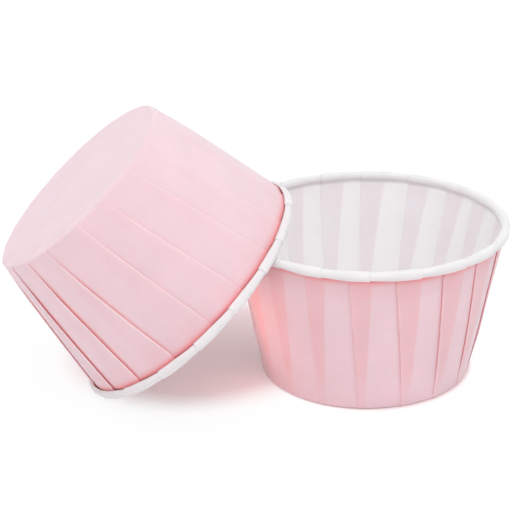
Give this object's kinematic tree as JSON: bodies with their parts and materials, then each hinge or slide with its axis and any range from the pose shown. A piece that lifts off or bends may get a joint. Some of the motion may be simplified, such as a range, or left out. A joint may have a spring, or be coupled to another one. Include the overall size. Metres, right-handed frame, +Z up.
{
  "type": "pair of cupcake liners",
  "caption": "Pleated paper baking cups with rolled rims: one stands mouth up, and its twin lies tipped over against its rim.",
  "frame": {"origin": "centre of the standing cup's base, on the surface it stands on", "axes": "+Z up along the standing cup's axis; +X from the leaning cup towards the standing cup"},
  "size_m": [0.1217, 0.068, 0.0675],
  "materials": {
    "pink_paper": "matt pale pink outside, coated white inside and on the rolled rim"
  },
  "bodies": {
    "root": {"upright_liner": "pink_paper", "leaning_liner": "pink_paper"}
  },
  "joints": []
}
